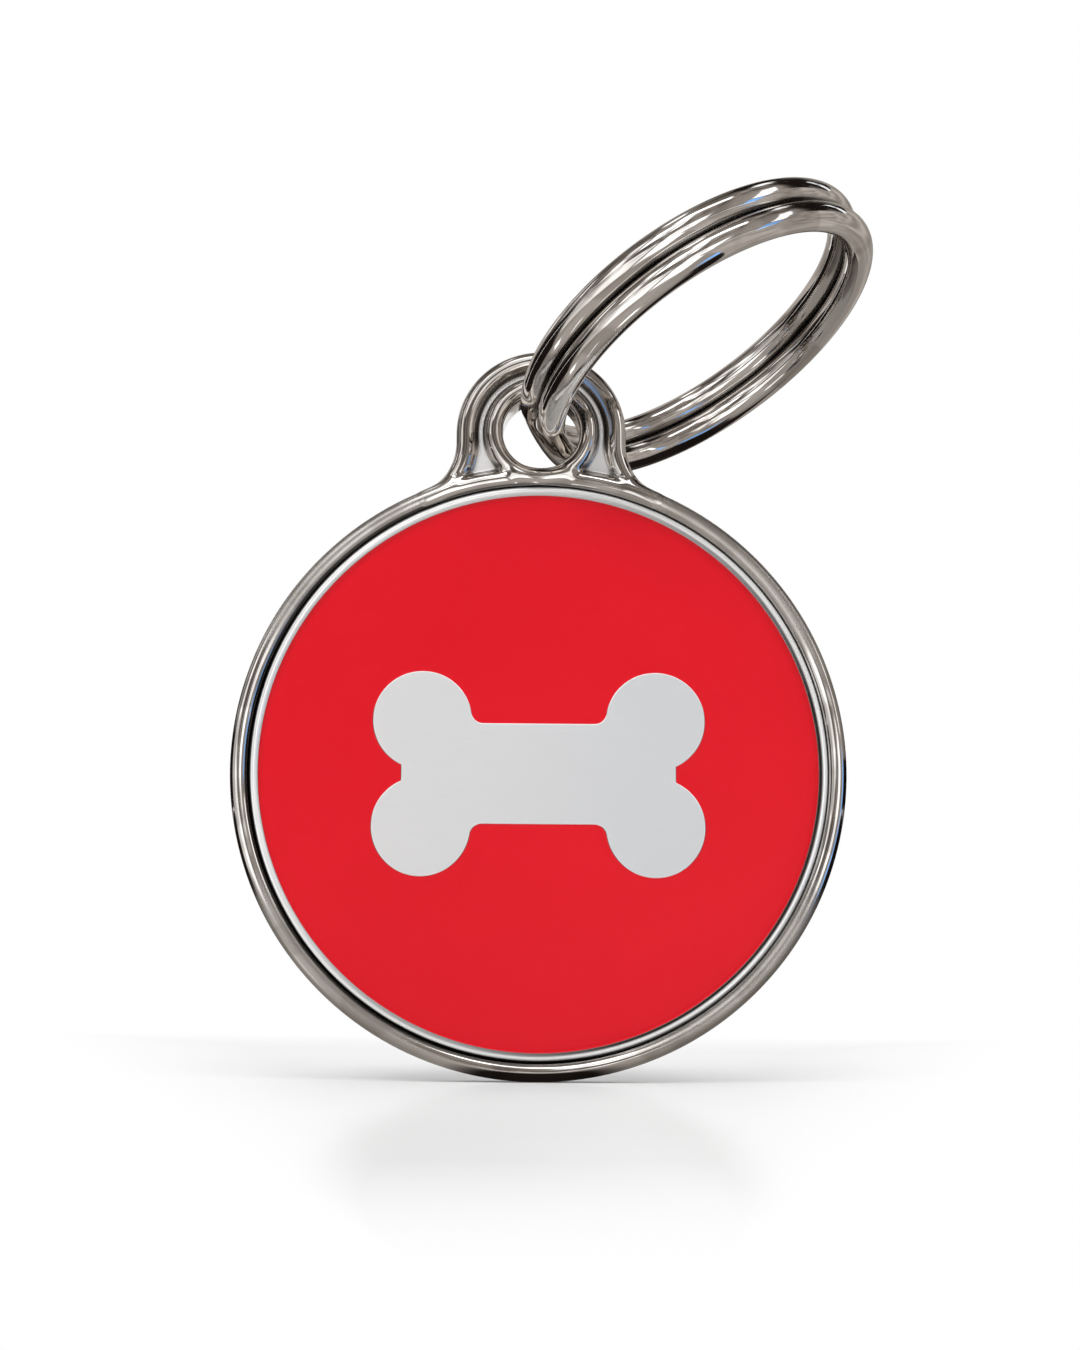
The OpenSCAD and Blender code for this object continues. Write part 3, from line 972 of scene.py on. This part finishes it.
class PETTAG_OT_build_tray(bpy.types.Operator):
    """Turns the tray: a brushed flat back, a flange behind the frame and a polished lip round the enamel"""

    bl_idname = "pet_tag.build_tray"
    bl_label = "Build Tray"

    def execute(self, context):
        settings = context.scene.pet_tag
        form = TagForm(settings)
        # The flange's rounded edge, its play in the frame, and a short row beside each rounding
        back, edge, clear, step = -form.front, 0.06, 0.012, 0.02
        flange_r, lip_r = form.flange_r - clear, form.lip / 2
        shelf, top = back + form.flange - clear, form.lip_top - lip_r
        wall = form.bore_r - clear / 4
        inner, floor = wall - form.lip, form.floor_z + step / 2
        profile = [(flange_r * part, back) for part in (0.0, 0.25, 0.5, 0.75, 0.9, 0.97)]
        profile += [(flange_r - edge - 1.5 * step, back)]
        profile += arc((flange_r - edge, back + edge), edge, -90, 0, 7)
        profile += [(flange_r, shelf), (wall, shelf), (wall, top - step)]
        profile += arc((wall - lip_r, top), lip_r, 0, 180, 25)
        profile += [(inner, top - step), (inner, floor), (inner * 0.5, floor), (0.0, floor)]
        points, faces = lathe(profile, 512)
        finish = settings.finish
        piece = mesh_piece("tray_turned", on_tag(points), faces, [polished_lip(finish), brushed_back(finish)],
                           crease=32)
        flat = [bool(points[face, 2].mean() < back + edge / 4) for face in faces]
        piece.data.polygons.foreach_set("material_index", np.array(flat, np.int32))
        slopes = np.array([tuple(vertex.normal) for vertex in piece.data.vertices])
        normals = np.stack([slopes[:, 0], slopes[:, 2], -slopes[:, 1]], -1)
        left, inwards = form.to_left(points), form.facing_in(points, normals)
        # Painted shade in the lip's recesses, stronger on the left
        shaded = shade_of(form.surroundings, points, normals, reach=0.3)
        store(piece, "recess", (0.4 + 0.6 * left) * shaded)
        # Painted shade on the lip's slopes that turn away from the light: the inner slope towards the right
        # and bottom, the outer slope at the lower left
        x, y = points[:, 0] / form.bore_r, points[:, 1] / form.bore_r
        away = np.clip(1.1 - 1.2 * left - 0.35 * y, 0.0, 1.0) * rising(inwards, 0.12, 0.42)
        low_left = np.clip(0.6 - 0.75 * (0.77 * x + 0.64 * y), 0.0, 1.0) * rising(-inwards, 0.3, 0.6)
        store(piece, "lee", np.maximum(away, low_left))
        check_made(piece)
        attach(piece, "tag")
        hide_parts("enamel_tray")
        return {"FINISHED"}


class PETTAG_OT_pour_enamel(bpy.types.Operator):
    """Pours the enamel: flat, with a small meniscus up the lip and round the bone"""

    bl_idname = "pet_tag.pour_enamel"
    bl_label = "Pour Enamel"

    def execute(self, context):
        settings = context.scene.pet_tag
        form = TagForm(settings)
        build = MeshBuilder()
        turns = np.arange(360) * 2 * math.pi / 360
        circle = np.stack([np.cos(turns), np.sin(turns)], -1)
        # The meniscus: how far in from the edge, and the share of its rise there
        creep = [(0.0, 1.0), (0.02, 0.72), (0.05, 0.45), (0.09, 0.22), (0.15, 0.06), (0.22, 0.0), (0.26, 0.0)]
        edge_r, past_bone = form.enamel_r - 0.004, 0.003
        outer = [build.row(circle * edge_r, form.bed_z)]
        outer += [build.row(circle * (edge_r - inset), form.enamel_z + form.meniscus * rise)
                  for inset, rise in creep]
        inner = [build.row(bone_line(settings.bone, -past_bone), form.bed_z)]
        inner += [build.row(bone_line(settings.bone, -past_bone - inset),
                            form.enamel_z + 0.5 * form.meniscus * rise) for inset, rise in creep]
        build.bands(outer)
        build.bands(inner[::-1])
        build.cap(outer[-1], inner[-1])
        build.cap(outer[0], inner[0], up=False)
        piece = mesh_piece("enamel_red", on_tag(build.points), build.faces, [glossy_enamel(settings.finish)],
                           crease=50)
        check_made(piece)
        # Keeps the enamel's red out of the pale floor and the bright plating
        piece.visible_diffuse = False
        piece.visible_glossy = False
        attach(piece, "tag")
        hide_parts("red_enamel")
        return {"FINISHED"}


class PETTAG_OT_build_bone(bpy.types.Operator):
    """Cuts the bone from satin steel, with a fine rounded edge that has a painted highlight above"""

    bl_idname = "pet_tag.build_bone"
    bl_label = "Build Bone"

    def execute(self, context):
        settings = context.scene.pet_tag
        form = TagForm(settings)
        bone = settings.bone
        build = MeshBuilder()
        top, edge = form.enamel_z + mm(bone.proud), mm(bone.edge)
        rows = [build.row(bone_line(bone), form.bed_z)]
        for part in np.linspace(0.0, math.pi / 2, 7):
            inset = edge * (1 - math.cos(part))
            rows.append(build.row(bone_line(bone, inset), top - edge * (1 - math.sin(part))))
        rows.append(build.row(bone_line(bone, edge + 0.03), top))
        build.bands(rows)
        edges = np.zeros(len(build.points))
        edges[rows[1][0]:rows[-1][0]] = 1.0
        build.cap(rows[-1])
        build.cap(rows[0], up=False)
        piece = mesh_piece("bone_satin", on_tag(build.points), build.faces, [satin_steel(settings.finish)],
                           crease=40)
        store(piece, "edge", edges)
        check_made(piece)
        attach(piece, "tag")
        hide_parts("bone_inlay")
        return {"FINISHED"}


def wire_tree():
    """Geometry nodes that wind one round wire into two coils side by side, with a crossing between
    them and softened cut ends."""
    group = bpy.data.node_groups.new("split_ring_wire", "GeometryNodeTree")
    inputs = (("Geometry", "Geometry"), ("Material", "Finish"), ("Vector", "Centre", "Turn"),
              ("Int", "Steps", "Sides"), ("Float", "Coil Radius", "Wire Radius", "Coil Pitch", "Crossing",
                                          "End Gap", "End Edge"))
    for kind, *names in inputs:
        for name in names:
            group.interface.new_socket(name, in_out="INPUT", socket_type="NodeSocket" + kind)
    group.interface.new_socket("Geometry", in_out="OUTPUT", socket_type="NodeSocketGeometry")
    tree = Tree(group)
    given = tree.node("NodeGroupInput")
    coil_r, wire_r, pitch, crossing, end_gap, edge = (given.value(name) for name in inputs[-1][1:])
    steps = given.value("Steps")
    end_steps = 9
    number = tree.node("GeometryNodeInputIndex").value()

    def stored(geometry, kind, name, value):
        return tree.node("GeometryNodeStoreNamedAttribute", {"data_type": kind, "domain": "POINT"},
                         {"Geometry": geometry, "Name": name, "Value": value})

    def read(kind, name):
        return tree.node("GeometryNodeInputNamedAttribute", {"data_type": kind}, {"Name": name})

    # Points stand close together at both cut ends and evenly in between
    coil_turn = 2 * math.pi - crossing - end_gap
    run = coil_r * (2 * coil_turn + crossing)
    fine = edge / end_steps
    coarse = (run - 2 * edge) / (steps - (1 + 2 * end_steps))
    last = steps - (1 + end_steps)
    along = fine * number.least(end_steps)
    along = along + coarse * (number.least(last) - end_steps).most(0.0)
    along = along + fine * (number - last).most(0.0)
    from_end = along.least(run - along)
    cut = 1 - (from_end / edge).least(1.0)
    slim = 1 - (edge / wire_r) * (1 - (1 - cut * cut).most(0.0).root())

    turned = math.pi + crossing / 2 + end_gap + along / coil_r
    across = ((turned - (math.pi + crossing / 2 + end_gap + coil_turn)) / crossing).clamped()
    rise = pitch * (across * across * (3 - 2 * across) - 0.5)
    spot = tree.joined(coil_r * turned.math("COSINE", turned), coil_r * turned.math("SINE", turned), rise)
    line = tree.node("GeometryNodeMeshLine", {"mode": "OFFSET", "count_mode": "TOTAL"}, {"Count": steps})
    line = tree.node("GeometryNodeSetPosition", sockets={"Geometry": line, "Position": spot})
    path = tree.node("GeometryNodeMeshToCurve", sockets={"Mesh": line})
    path = tree.node("GeometryNodeSetCurveRadius", sockets={"Curve": path, "Radius": slim})
    path = stored(path, "FLOAT", "wire_along", tree.node("GeometryNodeSplineParameter").out("Length"))
    profile = tree.node("GeometryNodeCurvePrimitiveCircle", {"mode": "RADIUS"},
                        {"Resolution": given.out("Sides"), "Radius": wire_r})
    profile = stored(profile, "FLOAT_VECTOR", "wire_skin", tree.node("GeometryNodeInputPosition"))
    wire = tree.node("GeometryNodeCurveToMesh", sockets={
        "Curve": path, "Profile Curve": profile, "Scale": tree.node("GeometryNodeInputRadius"),
        "Fill Caps": True})

    # The skin's place along the wire and round it, for its finish
    skin_x, skin_y, _ = tree.parts(read("FLOAT_VECTOR", "wire_skin"))
    skin = tree.joined(read("FLOAT", "wire_along"), skin_x, skin_y)
    wire = stored(wire, "FLOAT_VECTOR", "wire_skin", skin)
    wire = tree.node("GeometryNodeTransform", sockets={
        "Geometry": wire, "Translation": given.out("Centre"), "Rotation": given.out("Turn")})
    wire = tree.node("GeometryNodeRealizeInstances", sockets={"Geometry": wire})
    wire = tree.node("GeometryNodeSetMaterial", sockets={"Geometry": wire, "Material": given.out("Finish")})
    tree.node("NodeGroupOutput", sockets={"Geometry": wire})
    return group


class PETTAG_OT_wind_ring(bpy.types.Operator):
    """Winds the split ring from one wire and threads it through the eyelet"""

    bl_idname = "pet_tag.wind_ring"
    bl_label = "Wind Split Ring"

    def execute(self, context):
        settings = context.scene.pet_tag
        ring = settings.ring
        coil_r = (ring.diameter - ring.wire) / 2
        rotation = (Matrix.Rotation(ring.turned, 4, "Z") @ Matrix.Rotation(-ring.rise, 4, "Y")
                    @ Matrix.Rotation(ring.tip, 4, "X"))
        lift = ring.lift * settings.eyelet.play
        centre = HOLE_CENTRE + rotation @ Vector((coil_r + lift, 0.0, 0.0))
        values = {
            "Coil Radius": coil_r, "Wire Radius": ring.wire / 2, "Coil Pitch": ring.wire + ring.gap,
            "Crossing": ring.crossing, "End Gap": ring.end_gap, "End Edge": ring.end_edge,
            "Steps": ring.steps, "Sides": ring.sides, "Centre": centre[:], "Turn": rotation.to_euler()[:],
            "Finish": polished_nickel("wire_polished_nickel", settings.finish, wire=True),
        }
        holder = bpy.data.objects.new("wire_holder", bpy.data.meshes.new("wire_holder"))
        context.scene.collection.objects.link(holder)
        group = wire_tree()
        modifier = holder.modifiers.new("wire", "NODES")
        modifier.node_group = group
        for item in group.interface.items_tree:
            if item.in_out == "INPUT" and item.name in values:
                modifier[item.identifier] = values[item.name]
        evaluated = holder.evaluated_get(context.evaluated_depsgraph_get())
        mesh = bpy.data.meshes.new_from_object(evaluated)
        holder.modifiers.remove(modifier)
        bpy.data.objects.remove(holder)
        mesh.name = "ring_wire_nickel"
        mesh.shade_smooth()
        mesh.set_sharp_from_angle(angle=math.radians(50))
        piece = bpy.data.objects.new("ring_wire_nickel", mesh)
        context.scene.collection.objects.link(piece)
        # Painted shade between the coils, from how enclosed the wire is
        store(piece, "recess", self.between_coils(mesh, coil_r, ring, centre, rotation))
        check_made(piece)
        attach(piece, "ring")
        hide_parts("split_ring")
        return {"FINISHED"}

    @staticmethod
    def between_coils(mesh, coil_r, ring, centre, rotation):
        """How enclosed each point of the wire is, from its distance to the wire's middle line, for the
        painted shade between the coils.
        """
        coil_turn = 2 * math.pi - ring.crossing - ring.end_gap
        start = math.pi + ring.crossing / 2 + ring.end_gap
        turns = np.linspace(start, start + 2 * coil_turn + ring.crossing, 2400)
        across = rising(turns - start - coil_turn, 0.0, ring.crossing)
        rise = (ring.wire + ring.gap) * (across ** 2 * (3 - 2 * across) - 0.5)
        tree = KDTree(len(turns))
        for n, (a, z) in enumerate(zip(turns, rise)):
            tree.insert(centre + rotation @ Vector((coil_r * math.cos(a), coil_r * math.sin(a), z)), n)
        tree.balance()
        reach = 0.45 * MM
        values = []
        for vertex in mesh.vertices:
            free = tree.find(vertex.co + vertex.normal * reach)[2] - ring.wire / 2
            values.append(min(max(1 - free / reach, 0.0), 1.0))
        return values


# Studio


def studio_floor():
    """A pale glossy floor that keeps the shadow and the tag's soft image, and fades into the white."""
    finish = Finish("studio_floor_white")
    x, y, _ = finish.parts(finish.place)
    near = (x * x + y * y * 0.25).root()
    half = (0.014 + 0.2 * y).most(0.001)
    aside = abs(x).ramp(0.5 * half, 1.5 * half)
    away = y.ramp(0.03, 0.12).most((-y).ramp(0.036, 0.064))
    matte = finish.node("ShaderNodeBsdfDiffuse", sockets={"Color": (0.92, 0.92, 0.92)})
    gloss = finish.node("ShaderNodeBsdfGlossy", sockets={"Color": WHITE, "Roughness": 0.13})
    shine = 0.14 + 0.16 * near.ramp(0.006, 0.018)
    lit = finish.node("ShaderNodeMixShader", sockets={0: shine, 1: matte, 2: gloss})
    fade = (0.04 + 0.16 * near.ramp(0.004, 0.016)).most(aside).most(away) * finish.seen()
    shown = finish.node("ShaderNodeMixShader", sockets={0: fade, 1: lit, 2: finish.glow(WHITE)})
    return finish.one_sided(shown)


def ring_card():
    """A warm grey card beside the split ring, which its wire shows at the far side."""
    finish = Finish("studio_ring_card")
    cloud = finish.noise(0.06, 3.0).ramp(0.35, 0.65)
    return finish.shown_only(finish.glow(finish.mixed(cloud, (0.29, 0.265, 0.245), (0.52, 0.485, 0.455))))


def reflection_room():
    """What the metal sees round it, by direction from the tag: warm grey walls with soft windows and
    dark flags. Sides and heights are degrees, to the right of the camera's side and up."""
    finish = Finish("studio_reflection_room")
    x, y, z = finish.parts(finish.vector("NORMALIZE", finish.place))
    side = x.math("ARCTAN2", x, -y) * (180 / math.pi)
    height = z.math("ARCSINE", z) * (180 / math.pi)
    cloud = finish.noise(0.0026, 3.0)
    fleck = finish.noise(0.010)
    card = side.inside(34, 66, 14) * height.inside(4, 44, 14)
    wall = finish.mixed(cloud.ramp(0.36, 0.64), (0.11, 0.095, 0.083), (0.33, 0.30, 0.275))
    wall = finish.layered(wall, (height.ramp(-8, -28) * 0.75, (0.40, 0.38, 0.355)),
                          (fleck.ramp(0.58, 0.63) * 0.6, (0.45, 0.42, 0.40)),
                          (fleck.ramp(0.42, 0.38) * 0.5, (0.03, 0.025, 0.021)),
                          (card * 0.7, (0.34, 0.31, 0.29)))

    # One broad soft light over the camera, then windows: left, right, low, high and strength
    broken = 0.55 + 0.45 * finish.noise(0.0036).ramp(0.42, 0.5)
    leant = height - 0.3 * abs(side)
    soft_left = side.inside(-70, -7, 4) * (0.42 + 0.58 * side.ramp(-50, -36)) * leant.ramp(2, -4)
    soft_right = 1.1 * side.inside(3, 26, 4) * leant.ramp(7, 2)
    light = 1.2 * (soft_left + soft_right) * height.inside(-12, 60, 3) * broken
    windows = [
        (-58, -43, 14, 46, 1.1), (-34, -4, 25, 46, 1.7), (-24, 24, 52, 62, 2.4), (56, 67, 14, 44, 1.6),
        (-97, -90, 16, 40, 1.4), (-70, -60, -40, -30, 1.3), (40, 56, -40, -33, 1.3), (-12, -6, -58, -42, 1.2),
        (113, 120, 20, 50, 1.1), (-130, -123, 20, 46, 1.1), (-120, -70, 69, 75, 1.3), (80, 130, 70, 76, 1.3),
    ]
    rims = side.inside(56, 66, 2) * height.inside(-16, 8, 3)
    torn = 0.3 + 0.7 * finish.noise(0.0052).ramp(0.43, 0.49)
    for left, right, low, high, strength in windows:
        tall = height.inside(low, high, 2.0)
        light = side.inside(left, right, (right - left) * 0.1) * tall * strength * torn + light
        rims = 0.14 * side.inside(right + 1, right + 2, 0.5) * tall + rims

    # Dark behind the tag and at both sides, so that the metal's edges stand out from the white
    flags = y.ramp(-0.24, -0.06) * (0.6 + 0.4 * cloud.ramp(0.62, 0.46)) * (1 - 0.7 * height.ramp(-6, -14))
    flags = flags * (1 - 0.6 * side.ramp(-60, -90) * height.ramp(12, 20))
    dark = (side.ramp(66, 72) + side.ramp(-72, -80)) * height.inside(-20, 13, 3)
    dark = dark * (1 - abs(side).ramp(140, 155) * height.ramp(0, -8))
    dark = flags.most(dark.most(height.ramp(-69, -79)).clamped())
    tone = finish.layered(wall, (dark, (0.012, 0.009, 0.008)), (rims.clamped(), (0.28, 0.62, 1.25)))
    panes = finish.glow((0.95, 0.98, 1.0), light)
    return finish.shown_only(finish.node("ShaderNodeAddShader", sockets={0: finish.glow(tone), 1: panes}))


class PETTAG_OT_set_stage(bpy.types.Operator):
    """Sets the studio: pale floor, white surroundings, soft boxes, what the metal sees, and the camera"""

    bl_idname = "pet_tag.set_stage"
    bl_label = "Set Stage"

    def execute(self, context):
        studio = context.scene.pet_tag.studio
        floor_z = cad_box[0][2]
        self.lay_floor(floor_z)
        self.raise_room(floor_z)
        self.light_world(context, studio)
        for name, side, height, distance, width, tall, strength in (
                ("key_left", -34, 40, 0.42, 0.26, 0.22, 0.40),
                ("key_right", 38, 38, 0.42, 0.24, 0.22, 0.30),
                ("top_light", 10, 82, 0.40, 0.34, 0.30, 0.18),
                ("back_left", -150, 42, 0.45, 0.26, 0.24, 0.09),
                ("back_right", 145, 42, 0.45, 0.26, 0.24, 0.09)):
            self.hang_soft_box(context, name, side, height, distance, width, tall, strength * studio.key)
        self.place_camera(context, studio)
        context.scene.view_settings.view_transform = "Standard"
        return {"FINISHED"}

    @staticmethod
    def lay_floor(floor_z):
        points, faces = lathe([(radius, floor_z) for radius in (0.6, 0.3, 0.1, 0.03, 0.0)], 64)
        floor = mesh_piece("studio_floor", points, faces, [studio_floor()])
        floor.location = (DISC_CENTRE.x, DISC_CENTRE.y, 0.0)

    @staticmethod
    def raise_room(floor_z):
        """A room about the tag that only reflections see: a dome that stands open at the back, to the
        white, and a card that lies on the floor round the tag."""
        dome_r, closed = 0.9, math.radians(150)
        profile = [(dome_r * math.sin(a), -dome_r * math.cos(a)) for a in np.linspace(0, closed, 60)]
        points, faces = lathe(profile, 96)
        material = reflection_room()
        room = mesh_piece("studio_room", points[:, [0, 2, 1]], faces, [material])
        # Just above the floor, so that the two faces don't share a plane
        drop = floor_z - DISC_CENTRE.z + 0.00002
        points, faces = lathe([(radius, drop) for radius in (0.4, 0.2, 0.05, 0.0)], 64)
        card = mesh_piece("studio_floor_card", points, faces, [material])
        # Panels behind the ring and to its right, and one that lies low between them
        beside = [(x, y, z) for z in (0.014, 0.07) for x, y in ((0.008, 0.03), (0.1, 0.03), (0.1, -0.05))]
        beside += [(0.018, 0.03, 0.014), (0.018, -0.05, 0.014), (-0.04, 0.03, 0.026), (0.008, 0.03, 0.026),
                   (-0.04, 0.03, 0.07)]
        panels = [(0, 1, 4, 3), (1, 2, 5, 4), (6, 7, 2, 1), (8, 9, 3, 10)]
        side_card = mesh_piece("studio_ring_card", beside, panels, [ring_card()])
        for part in (room, card, side_card):
            part.location = DISC_CENTRE
            part.visible_camera = False
            part.visible_diffuse = False
            part.visible_shadow = False
            part.visible_transmission = False

    @staticmethod
    def light_world(context, studio):
        world = bpy.data.worlds.new("studio_world")
        world.use_nodes = True
        context.scene.world = world
        tree = Tree(world.node_tree)
        strength = studio.fill + (1 - studio.fill) * tree.seen()
        sky = tree.node("ShaderNodeBackground", sockets={"Color": WHITE, "Strength": strength})
        tree.node("ShaderNodeOutputWorld", sockets={"Surface": sky})

    @staticmethod
    def hang_soft_box(context, name, side, height, distance, width, tall, strength):
        """A soft box seen from the disc's centre at a side and height in degrees; its strength is the
        white that it gives a matt white face turned to it."""
        lamp = bpy.data.lights.new(name, "AREA")
        lamp.shape = "RECTANGLE"
        lamp.size, lamp.size_y = width, tall
        lamp.energy = strength * math.pi * distance ** 2 * math.pi
        box = bpy.data.objects.new(name, lamp)
        a, e = math.radians(side), math.radians(height)
        away = Vector((math.sin(a) * math.cos(e), -math.cos(a) * math.cos(e), math.sin(e)))
        box.location = DISC_CENTRE + away * distance
        box.rotation_euler = (-away).to_track_quat("-Z", "Y").to_euler()
        # The metal shows the room instead
        box.visible_glossy = False
        context.scene.collection.objects.link(box)

    @staticmethod
    def place_camera(context, studio):
        camera = bpy.data.cameras.new("studio_camera")
        camera.sensor_width = 36.0
        camera.lens = studio.lens
        camera.clip_start, camera.clip_end = 0.001, 10.0
        holder = bpy.data.objects.new("studio_camera", camera)
        turned = (Matrix.Rotation(-studio.yaw, 4, "Z") @ Matrix.Rotation(math.pi / 2 + studio.pitch, 4, "X")
                  @ Matrix.Rotation(studio.roll, 4, "Z"))
        holder.matrix_world = Matrix.Translation(DISC_CENTRE + Vector(studio.camera_place)) @ turned
        context.scene.collection.objects.link(holder)
        context.scene.camera = holder


class PETTAG_PT_panel(bpy.types.Panel):
    """The tag's sizes, finishes and buttons"""

    bl_idname = "PETTAG_PT_panel"
    bl_label = "Pet Tag"
    bl_space_type = "VIEW_3D"
    bl_region_type = "UI"
    bl_category = "Pet Tag"

    def draw(self, context):
        settings = context.scene.pet_tag
        for name in ("disc", "eyelet", "bone", "ring", "finish", "studio"):
            group = getattr(settings, name)
            box = self.layout.box()
            box.label(text=settings.bl_rna.properties[name].name)
            for item in group.bl_rna.properties:
                if not item.is_readonly and item.identifier != "name":
                    box.prop(group, item.identifier)
        for operator in OPERATORS:
            self.layout.operator(operator.bl_idname)


OPERATORS = (PETTAG_OT_build_frame, PETTAG_OT_build_tray, PETTAG_OT_pour_enamel, PETTAG_OT_build_bone,
             PETTAG_OT_wind_ring, PETTAG_OT_set_stage)
CLASSES = (PETTAG_PG_disc, PETTAG_PG_eyelet, PETTAG_PG_bone, PETTAG_PG_ring, PETTAG_PG_finish,
           PETTAG_PG_studio, PETTAG_PG_tag, *OPERATORS, PETTAG_PT_panel)


def register():
    for item in CLASSES:
        bpy.utils.register_class(item)
    bpy.types.Scene.pet_tag = bpy.props.PointerProperty(type=PETTAG_PG_tag)


def unregister():
    del bpy.types.Scene.pet_tag
    for item in reversed(CLASSES):
        bpy.utils.unregister_class(item)


def main():
    register()
    bpy.ops.pet_tag.build_frame()
    bpy.ops.pet_tag.build_tray()
    bpy.ops.pet_tag.pour_enamel()
    bpy.ops.pet_tag.build_bone()
    bpy.ops.pet_tag.wind_ring()
    bpy.ops.pet_tag.set_stage()


if __name__ == "__main__":
    main()
